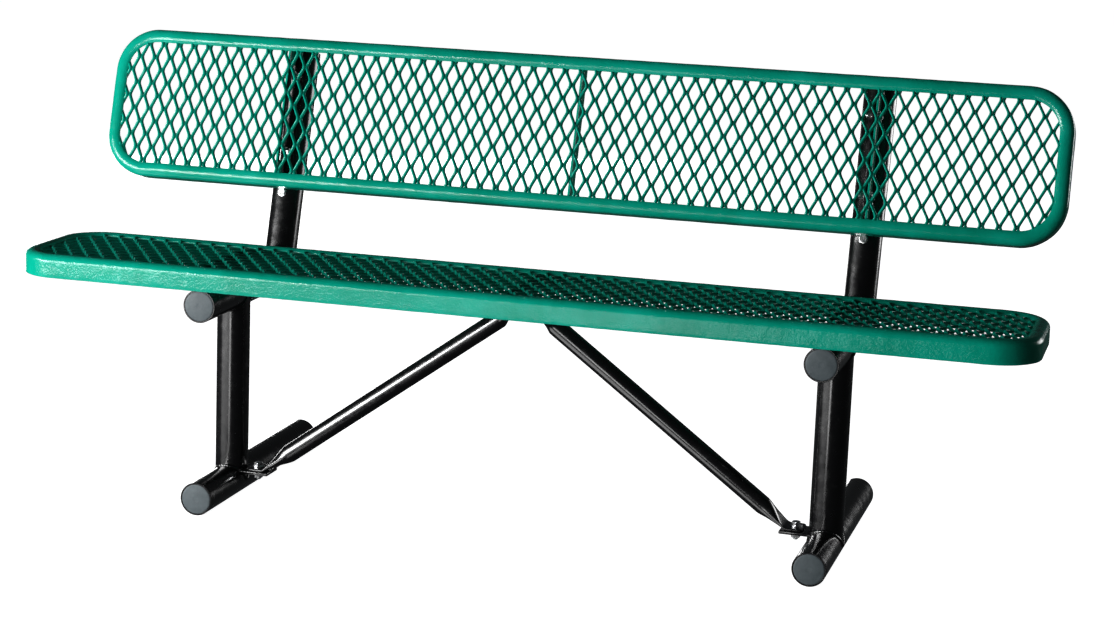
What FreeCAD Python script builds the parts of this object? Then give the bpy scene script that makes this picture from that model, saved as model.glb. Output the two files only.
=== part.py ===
import FreeCAD, Part
import math
import os

# Six-foot park bench with a back.  Millimetres, +Z up, +X along the bench, +Y towards the back.
# The origin lies on the ground, at the middle of the bench's footprint.
# Seat and back are the same welded panel: a folded sheet frame around expanded metal, dipped in
# plastisol.  Two welded tube frames carry them, and two diagonal braces tie the frames to the seat.

Vector = FreeCAD.Vector
X_AXIS = Vector(1, 0, 0)
Y_AXIS = Vector(0, 1, 0)
Z_AXIS = Vector(0, 0, 1)

# --- panel (seat and back) ---
PANEL_LENGTH = 1829.0
PANEL_WIDTH = 286.0
PANEL_CORNER_RADIUS = 83.0
SKIRT_DEPTH = 42.0
FLANGE_WIDTH = 27.0
COATED_SHEET = 4.5
EDGE_ROUND = 9.0
LIP_ROUND = 1.8
MESH_THICKNESS = 4.0
MESH_PITCH = 30.85
MESH_LONG_PITCH = 50.0
MESH_STRAND = 5.0
MESH_BOND = 7.0
MESH_SHIFT = -2.9
MESH_PHASE = -11.5
MESH_EDGE_GAP = 0.3
SMALLEST_OPENING = 25.0
STIFFENER_THICKNESS = 4.8
CENTRE_STIFFENER_X = {"seat": 0.0, "back": 13.0}
STIFFENER_DEPTH = 32.0

# --- where the two panels sit ---
SEAT_HEIGHT = 457.0
BACK_TILT = 16.5
BACK_CENTRE_HEIGHT = 690.0
BACK_CENTRE_BEHIND_SEAT = 278.5
FACE_TO_TUBE = 74.0

# --- round tube frames ---
TUBE_DIAMETER = 60.3
TUBE_WALL = 3.2
FRAME_SPACING = 1116.0
FOOT_LENGTH = 524.0
FOOT_SETBACK = 23.0
SUPPORT_SETBACK = 28.0
SUPPORT_TAIL = 45.0
POST_SETBACK = 189.0
BACK_TUBE_BELOW_EDGE = 14.0

# --- plug caps ---
CAP_DEPTH = 16.0
CAP_WALL = 2.5
CAP_DOME = 1.6
CAP_CLEARANCE = 0.1

# --- panel tabs and their bolts ---
TAB_THICKNESS = 6.35
TAB_LENGTH = 186.0
TAB_REACH = 62.0
TAB_CORNER = 8.0
TAB_BOLT_SPACING = 146.0
TAB_BOLT_REACH = 48.0
PANEL_BOLT = 8.0
PANEL_BOLT_FLATS = 12.7
PANEL_BOLT_HEAD = 5.3
PANEL_NUT = 6.8
PANEL_WASHER_DIAMETER = 18.0
PANEL_WASHER = 1.6
BOLT_HOLE_CLEARANCE = 1.0
THREAD_STUB = 4.0

# --- screw in the front of each back tube ---
TUBE_SCREW_BELOW_PANEL = 5.5
TUBE_SCREW_LENGTH = 14.0

# --- diagonal braces ---
BRACE_DIAMETER = 33.4
BRACE_WALL = 2.0
BRACE_FLAT = 5.0
BRACE_FLAT_WIDTH = 48.0
BRACE_BOLT_X = 504.6
BRACE_END_MARGIN = 16.0
BRACE_SLOPE = 0.733
BRACE_FOOT_INNER_X = 489.0
BRACE_FOOT_TAPER = 46.0
BRACE_HEAD_TAPER = 24.0
TAPER_INSET = 0.3
BRACE_BOLT = 9.5
BRACE_BOLT_FLATS = 14.3
BRACE_BOLT_HEAD = 6.4
BRACE_NUT = 8.2
BRACE_WASHER_DIAMETER = 22.0
BRACE_WASHER = 1.8
BRACE_STUB = 3.0
BRACE_TAB_THICKNESS = 6.0
BRACE_TAB_TOP = 52.0
BRACE_TAB_WIDTH = 51.0
BRACE_TAB_END_X = 478.0
BRACKET_DROP = 19.5
BRACKET_SHEET = 5.0
BRACKET_LENGTH = 66.0
BRACKET_WIDTH = 44.0

# --- worked out from the above ---
TUBE_RADIUS = TUBE_DIAMETER / 2
TUBE_BORE = TUBE_RADIUS - TUBE_WALL
HALF_SPACING = FRAME_SPACING / 2
TILT = math.radians(BACK_TILT)
UP_THE_BACK = Vector(0, math.sin(TILT), math.cos(TILT))
BACK_FACING = Vector(0, -math.cos(TILT), math.sin(TILT))
SUPPORT_HEIGHT = SEAT_HEIGHT - FACE_TO_TUBE
MESH_TOP = -COATED_SHEET
MESH_BOTTOM = MESH_TOP - MESH_THICKNESS
STIFFENER_BOTTOM = MESH_BOTTOM - STIFFENER_DEPTH
BRACE_FOOT_Z = BRACE_TAB_TOP + BRACE_FLAT / 2
BRACKET_BOTTOM = SEAT_HEIGHT + STIFFENER_BOTTOM - BRACKET_DROP
SIDES = (("left", -1), ("right", 1))

# Along +Y the bench reaches from the seat's front edge to the back of the back tubes' top ends.
BACK_TUBE_TOP = PANEL_WIDTH / 2 - BACK_TUBE_BELOW_EDGE
REAR_REACH = (
    PANEL_WIDTH / 2
    + BACK_CENTRE_BEHIND_SEAT
    + (FACE_TO_TUBE + TUBE_RADIUS) * math.cos(TILT)
    + BACK_TUBE_TOP * math.sin(TILT)
)
SEAT_FRONT_Y = -REAR_REACH / 2
SEAT_CENTRE_Y = SEAT_FRONT_Y + PANEL_WIDTH / 2
POST_Y = SEAT_FRONT_Y + POST_SETBACK
SEAT_CENTRE = Vector(0, SEAT_CENTRE_Y, SEAT_HEIGHT)
BACK_CENTRE = Vector(0, SEAT_CENTRE_Y + BACK_CENTRE_BEHIND_SEAT, BACK_CENTRE_HEIGHT)

# Panel frame of reference: face up at z = 0, length along X, width along Y, middle at the origin.
SEAT_PLACE = FreeCAD.Placement(SEAT_CENTRE, FreeCAD.Rotation(X_AXIS, 0))
BACK_PLACE = FreeCAD.Placement(BACK_CENTRE, FreeCAD.Rotation(X_AXIS, 90 - BACK_TILT))


def box(x_from, x_to, y_from, y_to, z_from, z_to):
    return Part.makeBox(x_to - x_from, y_to - y_from, z_to - z_from, Vector(x_from, y_from, z_from))


def placed(shape, place):
    moved = shape.copy()
    moved.Placement = place.multiply(moved.Placement)
    return moved


def group(solids):
    return Part.makeCompound(solids)


def rounded_outline(inset, z):
    """The panel's outline, pulled in by inset, as a face at height z."""
    half_x = PANEL_LENGTH / 2 - inset
    half_y = PANEL_WIDTH / 2 - inset
    radius = PANEL_CORNER_RADIUS - inset
    flat = Part.makePlane(2 * half_x, 2 * half_y, Vector(-half_x, -half_y, z))
    block = flat.extrude(Vector(0, 0, 1))
    uprights = [e for e in block.Edges if abs(e.BoundBox.ZLength - 1) < 1e-6]
    rounded = block.makeFillet(radius, uprights)
    for face in rounded.Faces:
        if face.BoundBox.ZLength < 1e-6 and abs(face.BoundBox.ZMin - z) < 1e-6:
            return face
    raise ValueError("no face at that height")


def slab(inset, z_from, z_to):
    return rounded_outline(inset, z_from).extrude(Vector(0, 0, z_to - z_from))


def level_edges(shape, z):
    return [e for e in shape.Edges if e.BoundBox.ZLength < 1e-6 and abs(e.BoundBox.ZMin - z) < 1e-6]


def hex_prism(flats, z_from, z_to):
    corner = flats / math.sqrt(3)
    points = [
        Vector(corner * math.cos(math.radians(60 * k)), corner * math.sin(math.radians(60 * k)), z_from)
        for k in range(7)
    ]
    return Part.Face(Part.makePolygon(points)).extrude(Vector(0, 0, z_to - z_from))


def round_tube(start, direction, length):
    outer = Part.makeCylinder(TUBE_RADIUS, length, start, direction)
    bore = Part.makeCylinder(TUBE_BORE, length, start, direction)
    return outer.cut(bore)


# --- panel pieces, all in the panel's own frame of reference ---


def panel_frame():
    """Folded sheet edge: a flat flange around the opening, and a skirt down all four sides."""
    body = slab(0, -SKIRT_DEPTH, 0)
    body = body.makeFillet(EDGE_ROUND, level_edges(body, 0))
    hollow = slab(COATED_SHEET, -SKIRT_DEPTH, -COATED_SHEET)
    opening = slab(FLANGE_WIDTH, -COATED_SHEET, 0)
    body = body.cut(hollow).cut(opening)
    lip = [e for e in level_edges(body, 0) if e.BoundBox.YLength < PANEL_WIDTH - 2 * EDGE_ROUND - 1]
    return body.makeFillet(LIP_ROUND, lip)


def mesh_opening(x, y):
    """One diamond opening of the expanded metal, long along Y, with short flats at the bonds."""
    half_x = (MESH_PITCH - MESH_STRAND) / 2
    half_y = (MESH_LONG_PITCH - MESH_BOND) / 2
    flat = MESH_STRAND / 4
    corners = [
        (-flat, -half_y), (flat, -half_y), (half_x, -flat), (half_x, flat),
        (flat, half_y), (-flat, half_y), (-half_x, flat), (-half_x, -flat),
    ]
    points = [Vector(x + dx, y + dy, MESH_BOTTOM) for dx, dy in corners]
    return Part.Face(Part.makePolygon(points + points[:1]))


def opening_centres():
    """Centres of the diamonds: every second row is shifted by half a pitch."""
    columns = math.ceil(PANEL_LENGTH / MESH_PITCH / 2) + 1
    rows = math.ceil(PANEL_WIDTH / MESH_LONG_PITCH) + 1
    for row in range(-rows, rows + 1):
        shift = 0.5 if row % 2 == 0 else 0.0
        for column in range(-columns, columns + 1):
            x = MESH_SHIFT + MESH_PITCH * (column + shift)
            yield x, MESH_PHASE + MESH_LONG_PITCH * row / 2


def within_outline(point, inset):
    """Whether a point lies inside the panel's outline pulled in by inset."""
    radius = PANEL_CORNER_RADIUS - inset
    past_x = abs(point.x) - (PANEL_LENGTH / 2 - inset - radius)
    past_y = abs(point.y) - (PANEL_WIDTH / 2 - inset - radius)
    return math.hypot(max(past_x, 0), max(past_y, 0)) <= radius


def clipped_openings(inset):
    """Every diamond that lies in the outline pulled in by inset, cut off where it crosses it."""
    allowed = rounded_outline(inset, MESH_BOTTOM)
    for x, y in opening_centres():
        if abs(x) > PANEL_LENGTH / 2 or abs(y) > PANEL_WIDTH / 2:
            continue
        diamond = mesh_opening(x, y)
        if all(within_outline(vertex.Point, inset) for vertex in diamond.Vertexes):
            yield diamond
        else:
            yield from (f for f in diamond.common(allowed).Faces if f.Area > SMALLEST_OPENING)


def panel_mesh():
    """Expanded metal sheet, flat under the flange, pierced by every diamond that fits the outline."""
    edge = COATED_SHEET + MESH_EDGE_GAP
    sheet = rounded_outline(edge, MESH_BOTTOM)
    holes = [face.OuterWire.reversed() for face in clipped_openings(edge + MESH_STRAND)]
    pierced = Part.Face([sheet.OuterWire] + holes)
    return pierced.extrude(Vector(0, 0, MESH_THICKNESS))


def stiffener(x_from):
    """Flat bar on edge under the mesh, from skirt to skirt, drilled for the tab bolts."""
    reach = PANEL_WIDTH / 2 - COATED_SHEET
    return box(x_from, x_from + STIFFENER_THICKNESS, -reach, reach, STIFFENER_BOTTOM, MESH_BOTTOM)


def tab_bolt_spots(side):
    """Where the tab bolts cross the tab's outer face, in the panel's frame of reference."""
    x = side * (HALF_SPACING + TAB_THICKNESS / 2)
    z = TAB_BOLT_REACH - FACE_TO_TUBE
    return [Vector(x, y, z) for y in (-TAB_BOLT_SPACING / 2, TAB_BOLT_SPACING / 2)]


def drilled_for_tab_bolts(shape, side):
    for spot in tab_bolt_spots(side):
        start = spot - X_AXIS * 20
        radius = (PANEL_BOLT + BOLT_HOLE_CLEARANCE) / 2
        shape = shape.cut(Part.makeCylinder(radius, 40, start, X_AXIS))
    return shape


def side_stiffener(side):
    face = HALF_SPACING + TAB_THICKNESS / 2
    x_from = face if side > 0 else -face - STIFFENER_THICKNESS
    return drilled_for_tab_bolts(stiffener(x_from), side)


def mounting_tab(side):
    """Plate welded along the tube and reaching up inside the panel, bolted to the stiffener."""
    x = side * HALF_SPACING
    half = TAB_LENGTH / 2
    z_axis = -FACE_TO_TUBE
    plate = box(
        x - TAB_THICKNESS / 2, x + TAB_THICKNESS / 2, -half, half,
        z_axis + TUBE_RADIUS - 2, z_axis + TAB_REACH,
    )
    top_corners = [e for e in level_x_edges(plate) if e.BoundBox.ZMin > z_axis + TAB_REACH - 1]
    plate = plate.makeFillet(TAB_CORNER, top_corners)
    tube = Part.makeCylinder(TUBE_RADIUS, 2 * half + 20, Vector(x, -half - 10, z_axis), Y_AXIS)
    return drilled_for_tab_bolts(plate.cut(tube), side)


def level_x_edges(shape):
    return [e for e in shape.Edges if e.BoundBox.YLength < 1e-6 and e.BoundBox.ZLength < 1e-6]


# --- fasteners: built standing on z = 0 with the head up, then laid along their axis ---


def washer(bolt, diameter, thickness, z):
    ring = Part.makeCylinder(diameter / 2, thickness, Vector(0, 0, z))
    hole = Part.makeCylinder((bolt + BOLT_HOLE_CLEARANCE) / 2, thickness, Vector(0, 0, z))
    return ring.cut(hole)


def hex_bolt(diameter, flats, head, shank, z_under_head):
    shaft = Part.makeCylinder(diameter / 2, shank, Vector(0, 0, z_under_head - shank))
    return hex_prism(flats, z_under_head, z_under_head + head).fuse(shaft).removeSplitter()


def hex_nut(diameter, flats, z_from, z_to):
    bore = Part.makeCylinder(diameter / 2, z_to - z_from, Vector(0, 0, z_from))
    return hex_prism(flats, z_from, z_to).cut(bore)


def panel_fastener(kind):
    """Head outside the stiffener at z > 0, nut inside the tab at z < 0; z = 0 is their joint."""
    head_face = STIFFENER_THICKNESS
    nut_face = -TAB_THICKNESS
    nut_end = nut_face - PANEL_WASHER - PANEL_NUT
    if kind == "bolt":
        under_head = head_face + PANEL_WASHER
        shank = under_head - nut_end + THREAD_STUB
        return [hex_bolt(PANEL_BOLT, PANEL_BOLT_FLATS, PANEL_BOLT_HEAD, shank, under_head)]
    if kind == "nut":
        return [hex_nut(PANEL_BOLT, PANEL_BOLT_FLATS, nut_end, nut_face - PANEL_WASHER)]
    starts = (head_face, nut_face - PANEL_WASHER)
    return [washer(PANEL_BOLT, PANEL_WASHER_DIAMETER, PANEL_WASHER, z) for z in starts]


def panel_fasteners(kind, panel_place):
    """The four bolts, nuts or washer pairs that hold one panel to its tabs."""
    solids = []
    for _, side in SIDES:
        outwards = FreeCAD.Rotation(Z_AXIS, X_AXIS * side)
        for spot in tab_bolt_spots(side):
            place = panel_place.multiply(FreeCAD.Placement(spot, outwards))
            solids += [placed(piece, place) for piece in panel_fastener(kind)]
    return group(solids)


def brace_fastener(kind, under_head, nut_face):
    """A vertical brace bolt with its washers and nut; under_head and nut_face are where they bear."""
    direction = 1 if under_head > nut_face else -1
    nut_end = nut_face - direction * (BRACE_WASHER + BRACE_NUT)
    seat = under_head + direction * BRACE_WASHER
    if kind == "bolt":
        shank = abs(seat - nut_end) + BRACE_STUB
        bolt = hex_bolt(BRACE_BOLT, BRACE_BOLT_FLATS, BRACE_BOLT_HEAD, shank, 0)
        turn = FreeCAD.Rotation(Z_AXIS, Z_AXIS * direction)
        return [placed(bolt, FreeCAD.Placement(Vector(0, 0, seat), turn))]
    if kind == "nut":
        low = min(nut_end, nut_end + direction * BRACE_NUT)
        return [hex_nut(BRACE_BOLT, BRACE_BOLT_FLATS, low, low + BRACE_NUT)]
    lows = (min(under_head, seat), min(nut_face, nut_face - direction * BRACE_WASHER))
    return [washer(BRACE_BOLT, BRACE_WASHER_DIAMETER, BRACE_WASHER, z) for z in lows]


def brace_fasteners(kind):
    """Left foot, right foot and seat bracket."""
    foot_top = BRACE_TAB_TOP + BRACE_FLAT
    foot_bottom = BRACE_TAB_TOP - BRACE_TAB_THICKNESS
    bracket_top = BRACKET_BOTTOM + BRACKET_SHEET
    spots = (
        (-BRACE_BOLT_X, foot_top, foot_bottom),
        (BRACE_BOLT_X, foot_top, foot_bottom),
        (0, BRACKET_BOTTOM - 2 * BRACE_FLAT, bracket_top),
    )
    solids = []
    for x, under_head, nut_face in spots:
        place = FreeCAD.Placement(Vector(x, POST_Y, 0), FreeCAD.Rotation())
        solids += [placed(piece, place) for piece in brace_fastener(kind, under_head, nut_face)]
    return group(solids)


def tube_screw_spot(side):
    """On the front of the back tube, just below the back panel, in the panel's frame of reference."""
    y = -PANEL_WIDTH / 2 - TUBE_SCREW_BELOW_PANEL
    return Vector(side * HALF_SPACING, y, TUBE_RADIUS - FACE_TO_TUBE)


def tube_screws():
    screw = hex_bolt(PANEL_BOLT, PANEL_BOLT_FLATS, PANEL_BOLT_HEAD, TUBE_SCREW_LENGTH, 0)
    return group([
        placed(screw, BACK_PLACE.multiply(FreeCAD.Placement(tube_screw_spot(side), FreeCAD.Rotation())))
        for _, side in SIDES
    ])


# --- tube frames ---


def solid_tube(start, direction, length):
    return Part.makeCylinder(TUBE_RADIUS, length, start, direction)


def foot_start(side):
    return Vector(side * HALF_SPACING, SEAT_FRONT_Y + FOOT_SETBACK, TUBE_RADIUS)


def support_start(side):
    return Vector(side * HALF_SPACING, SEAT_FRONT_Y + SUPPORT_SETBACK, SUPPORT_HEIGHT)


def back_tube_top(side):
    middle = BACK_CENTRE - BACK_FACING * FACE_TO_TUBE
    return middle + UP_THE_BACK * BACK_TUBE_TOP + X_AXIS * side * HALF_SPACING


def back_tube_length():
    """From the tube's top down its slope to the middle of the seat support tube."""
    return (back_tube_top(1).z - SUPPORT_HEIGHT) / math.cos(TILT)


def support_length():
    """The seat support runs on a little behind the point where the back tube stands on it."""
    root_y = back_tube_top(1).y - back_tube_length() * math.sin(TILT)
    return root_y + SUPPORT_TAIL - support_start(1).y


def foot_tube(side):
    return round_tube(foot_start(side), Y_AXIS, FOOT_LENGTH)


def support_tube(side):
    return round_tube(support_start(side), Y_AXIS, support_length())


def post_tube(side):
    """Upright, coped to sit on the foot and to take the seat support."""
    base = Vector(side * HALF_SPACING, POST_Y, TUBE_RADIUS)
    upright = round_tube(base, Z_AXIS, SUPPORT_HEIGHT - TUBE_RADIUS)
    upright = upright.cut(solid_tube(foot_start(side), Y_AXIS, FOOT_LENGTH))
    return upright.cut(solid_tube(support_start(side), Y_AXIS, support_length()))


def back_tube(side):
    """Leaning tube, coped onto the seat support, with a clearance hole for its front screw."""
    top = back_tube_top(side)
    leaning = round_tube(top, UP_THE_BACK * -1, back_tube_length())
    leaning = leaning.cut(solid_tube(support_start(side), Y_AXIS, support_length()))
    spot = BACK_PLACE.multVec(tube_screw_spot(side))
    start = spot + BACK_FACING * 5
    return leaning.cut(Part.makeCylinder(PANEL_BOLT / 2, 5 + 2 * TUBE_WALL, start, BACK_FACING * -1))


def brace_tab(side):
    """Flat plate on the inner side of the foot, below the post, that takes the brace's lower end."""
    inner = BRACE_TAB_END_X
    outer = HALF_SPACING - TUBE_RADIUS / 2
    x_from, x_to = (inner, outer) if side > 0 else (-outer, -inner)
    half = BRACE_TAB_WIDTH / 2
    z_from = BRACE_TAB_TOP - BRACE_TAB_THICKNESS
    plate = box(x_from, x_to, POST_Y - half, POST_Y + half, z_from, BRACE_TAB_TOP)
    free_end = [
        e for e in plate.Edges
        if e.BoundBox.ZLength > BRACE_TAB_THICKNESS - 1e-6 and abs(abs(e.BoundBox.XMin) - inner) < 1e-3
    ]
    plate = plate.makeFillet(TAB_CORNER, free_end)
    plate = plate.cut(solid_tube(foot_start(side), Y_AXIS, FOOT_LENGTH))
    post = Vector(side * HALF_SPACING, POST_Y, 0)
    plate = plate.cut(solid_tube(post, Z_AXIS, SUPPORT_HEIGHT))
    return plate.cut(brace_bolt_hole(side * BRACE_BOLT_X))


def brace_bolt_hole(x):
    radius = (BRACE_BOLT + BOLT_HOLE_CLEARANCE) / 2
    return Part.makeCylinder(radius, SEAT_HEIGHT, Vector(x, POST_Y, 0))


# --- plug caps ---


def plug_cap():
    """Push-in tube plug: a shallow dome flush with the tube end and a skirt inside the bore."""
    radius = TUBE_BORE - CAP_CLEARANCE
    skirt = Part.makeCylinder(radius, CAP_DEPTH, Vector(0, 0, -CAP_DEPTH))
    hollow = Part.makeCylinder(radius - CAP_WALL, CAP_DEPTH - CAP_WALL, Vector(0, 0, -CAP_DEPTH))
    ball_radius = (radius ** 2 + CAP_DOME ** 2) / (2 * CAP_DOME)
    ball = Part.makeSphere(ball_radius, Vector(0, 0, CAP_DOME - ball_radius))
    dome = ball.common(Part.makeCylinder(radius, CAP_DOME * 2, Vector(0, 0, 0)))
    return skirt.cut(hollow).fuse(dome).removeSplitter()


def cap_at(point, outwards):
    return placed(plug_cap(), FreeCAD.Placement(point, FreeCAD.Rotation(Z_AXIS, outwards)))


def caps(name, side):
    foot = foot_start(side)
    support = support_start(side)
    return {
        f"foot_front_cap_{name}": cap_at(foot, Y_AXIS * -1),
        f"foot_rear_cap_{name}": cap_at(foot + Y_AXIS * FOOT_LENGTH, Y_AXIS),
        f"seat_support_front_cap_{name}": cap_at(support, Y_AXIS * -1),
        f"seat_support_rear_cap_{name}": cap_at(support + Y_AXIS * support_length(), Y_AXIS),
        f"back_support_cap_{name}": cap_at(back_tube_top(side), UP_THE_BACK),
    }


# --- braces ---


def brace_axis(distance, flat_z, inner):
    """Point on the brace's straight axis, at a distance from the bench's middle."""
    return Vector(distance, POST_Y, flat_z + BRACE_SLOPE * (inner - distance))


def oval(centre, half_width, thickness_direction, half_thickness):
    wide = centre + Y_AXIS * half_width
    thin = centre + thickness_direction * half_thickness
    return Part.Wire([Part.Ellipse(wide, thin, centre).toShape()])


def brace(side, head_flat_z):
    """Round tube whose two ends are pressed flat; drawn for the right and mirrored for the left."""
    radius = BRACE_DIAMETER / 2
    head_inner = BRACE_FOOT_INNER_X - (head_flat_z - BRACE_FOOT_Z) / BRACE_SLOPE
    low = brace_axis(BRACE_FOOT_INNER_X - BRACE_FOOT_TAPER, BRACE_FOOT_Z, BRACE_FOOT_INNER_X)
    high = brace_axis(head_inner + BRACE_HEAD_TAPER, BRACE_FOOT_Z, BRACE_FOOT_INNER_X)
    along = (high - low).normalize()
    across = along.cross(Y_AXIS).normalize()
    length = low.distanceToPoint(high)
    straight = Part.makeCylinder(radius, length, low, along)
    straight = straight.cut(Part.makeCylinder(radius - BRACE_WALL, length, low, along))
    foot_flat = Vector(BRACE_FOOT_INNER_X, POST_Y, BRACE_FOOT_Z)
    head_flat = Vector(head_inner, POST_Y, head_flat_z)
    pieces = [straight]
    round_half = radius - TAPER_INSET
    for start, end in ((low, foot_flat), (high, head_flat)):
        round_end = oval(start, round_half, across, round_half - TAPER_INSET)
        flat_end = oval(end, BRACE_FLAT_WIDTH / 2 - TAPER_INSET, Z_AXIS, BRACE_FLAT / 2 - TAPER_INSET)
        pieces.append(Part.makeLoft([round_end, flat_end], True, True))
    foot_tip = BRACE_BOLT_X + BRACE_END_MARGIN
    pieces.append(brace_pad(BRACE_FOOT_INNER_X, foot_tip, BRACE_FOOT_Z, foot_tip))
    pieces.append(brace_pad(-BRACE_END_MARGIN, head_inner, head_flat_z, -BRACE_END_MARGIN))
    whole = pieces[0].multiFuse(pieces[1:]).removeSplitter()
    for x in (BRACE_BOLT_X, 0):
        whole = whole.cut(brace_bolt_hole(x))
    if side < 0:
        whole = whole.mirror(Vector(0, 0, 0), X_AXIS)
    return whole


def brace_pad(x_from, x_to, z, tip_x):
    """The flattened, drilled end: a strip with both tip corners rounded."""
    half = BRACE_FLAT_WIDTH / 2
    strip = box(x_from, x_to, POST_Y - half, POST_Y + half, z - BRACE_FLAT / 2, z + BRACE_FLAT / 2)
    tip = [
        e for e in strip.Edges
        if e.BoundBox.ZLength > BRACE_FLAT - 1e-6 and abs(e.BoundBox.XMin - tip_x) < 1e-3
    ]
    return strip.makeFillet(half / 2, tip)


def seat_brace_bracket():
    """Small saddle welded under the seat's middle stiffener; its nut sits inside it."""
    half_x = BRACKET_WIDTH / 2
    half_y = BRACKET_LENGTH / 2
    top = SEAT_HEIGHT + STIFFENER_BOTTOM
    block = box(-half_x, half_x, POST_Y - half_y, POST_Y + half_y, BRACKET_BOTTOM, top)
    inside = box(
        -half_x, half_x, POST_Y - half_y + BRACKET_SHEET, POST_Y + half_y - BRACKET_SHEET,
        BRACKET_BOTTOM + BRACKET_SHEET, top,
    )
    return block.cut(inside).cut(brace_bolt_hole(0))


# --- the whole bench ---


def panel_pieces():
    """The welded pieces and tabs of one panel, by name, in the panel's own frame of reference."""
    pieces = {
        "frame": panel_frame(),
        "mesh": panel_mesh(),
    }
    for name, side in SIDES:
        pieces[f"stiffener_{name}"] = side_stiffener(side)
        pieces[f"tab_{name}"] = mounting_tab(side)
    return pieces


def panel_nodes(prefix, pieces, place):
    nodes = {f"{prefix}_{name}": placed(shape, place) for name, shape in pieces.items()}
    centre = stiffener(CENTRE_STIFFENER_X[prefix] - STIFFENER_THICKNESS / 2)
    nodes[f"{prefix}_stiffener_centre"] = placed(centre, place)
    for kind in ("bolt", "nut", "washer"):
        nodes[f"{prefix}_{kind}s"] = panel_fasteners(kind, place)
    return nodes


def frame_nodes():
    nodes = {}
    for name, side in SIDES:
        nodes[f"foot_tube_{name}"] = foot_tube(side)
        nodes[f"post_tube_{name}"] = post_tube(side)
        nodes[f"seat_support_tube_{name}"] = support_tube(side)
        nodes[f"back_support_tube_{name}"] = back_tube(side)
        nodes[f"brace_tab_{name}"] = brace_tab(side)
        nodes.update(caps(name, side))
    nodes["back_support_screws"] = tube_screws()
    return nodes


def brace_nodes():
    upper_flat = BRACKET_BOTTOM - BRACE_FLAT / 2
    nodes = {
        "brace_left": brace(-1, upper_flat),
        "brace_right": brace(1, upper_flat - BRACE_FLAT),
        "seat_brace_bracket": seat_brace_bracket(),
    }
    for kind in ("bolt", "nut", "washer"):
        nodes[f"brace_{kind}s"] = brace_fasteners(kind)
    return nodes


def main():
    os.makedirs("parts", exist_ok=True)
    pieces = panel_pieces()
    for name, shape in pieces.items():
        if not shape.isValid():
            raise ValueError(f"panel {name} is not valid")
    nodes = {}
    nodes.update(panel_nodes("seat", pieces, SEAT_PLACE))
    nodes.update(panel_nodes("back", pieces, BACK_PLACE))
    nodes.update(frame_nodes())
    nodes.update(brace_nodes())
    for name, shape in nodes.items():
        shape.exportStep(f"parts/{name}.step")
        print(f"{name}: {len(shape.Solids)} solid(s), {shape.Volume / 1000:.1f} cm3")


main()
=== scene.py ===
import math
import random

import bmesh
import bpy
from mathutils import Matrix, Vector, noise


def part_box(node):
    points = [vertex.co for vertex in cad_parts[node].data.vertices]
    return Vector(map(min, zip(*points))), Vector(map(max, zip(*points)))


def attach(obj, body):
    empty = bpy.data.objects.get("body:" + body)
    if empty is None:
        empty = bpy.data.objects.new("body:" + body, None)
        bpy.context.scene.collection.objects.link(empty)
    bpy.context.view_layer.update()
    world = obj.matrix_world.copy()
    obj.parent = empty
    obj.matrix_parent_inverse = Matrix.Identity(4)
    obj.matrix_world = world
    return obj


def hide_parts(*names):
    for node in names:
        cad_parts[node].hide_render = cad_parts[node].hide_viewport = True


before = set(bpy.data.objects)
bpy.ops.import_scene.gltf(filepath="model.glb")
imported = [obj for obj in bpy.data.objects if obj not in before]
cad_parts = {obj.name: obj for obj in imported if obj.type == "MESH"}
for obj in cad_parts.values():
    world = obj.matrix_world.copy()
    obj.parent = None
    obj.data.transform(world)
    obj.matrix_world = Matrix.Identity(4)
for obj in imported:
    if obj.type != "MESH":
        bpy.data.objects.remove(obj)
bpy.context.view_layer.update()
SHUFFLE = random.Random(7)

# All sizes are in metres.  What the frame already knows is read from it; the rest is named here.

# --- panel: folded edge, mesh and stiffeners ---
BACK_TILT = math.radians(16.5)
PANEL_CORNER = 0.083
FLANGE = 0.027
SHEET = 0.0045
BEND = 0.0125
CREST = 0.0150
LIP_DROP = 0.0030
CORNER_STEPS = 30
OUTLINE_STEP = 0.005
STIFFENER_STEPS = 60

MESH_THICKNESS = 0.004
MESH_PITCH = 0.03085
MESH_LONG_PITCH = 0.050
MESH_PHASE = -0.0115
MESH_SHIFT = -0.0029
MESH_MIDDLE = -0.0072
MESH_MARGIN = 0.002
STRAND_WIDTH = 0.0058
STRAND_THICKNESS = 0.0037
STRAND_COAT = 1.16
STRAND_TILT = {"seat": math.radians(50), "back": math.radians(-50)}
STRAND_STEPS = 14
BOND_LENGTH = 0.0032
SWAY_EASING = 0.08

# --- unevenness of the dipped coating: how deep the lumps are, and how many there are to a metre ---
RIM_LUMPS = {"lumps": 0.00028, "lump_scale": 48}
STIFFENER_LUMPS = {"lumps": 0.00012, "lump_scale": 70}
FINE_LUMP_SHARE = 0.45
FINE_LUMP_SCALE = 2.7

# --- panel bolts, back tube screws and brace bolts ---
TAB_BOLT_SPACING = 0.146
TAB_BOLT_REACH = 0.048
FACE_TO_TUBE = 0.074
PANEL_BOLT = {
    "thread": 0.0080, "flats": 0.0127, "head": 0.0053,
    "nut": 0.0068, "washer": 0.018, "thick": 0.0016,
}
BRACE_BOLT = {
    "thread": 0.0095, "flats": 0.0143, "head": 0.0064,
    "nut": 0.0082, "washer": 0.022, "thick": 0.0018,
}
PANEL_BOLT_STUB = 0.004
FOOT_BOLT_STUB = 0.003
SEAT_BOLT_STUB = 0.0025
THREAD_PITCH = 0.0014
THREAD_DEPTH = 0.0006
THREAD_STEPS = 6
HEX_CORNER_CUT = 0.485
HEX_CHAMFER_SLOPE = math.tan(math.radians(60))
WASHER_EDGE = 0.0003
TUBE_SCREW_BELOW_PANEL = 0.0055
TUBE_SCREW_DEPTH = 0.014
TUBE_SCREW_SPIN = 0.3
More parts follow.
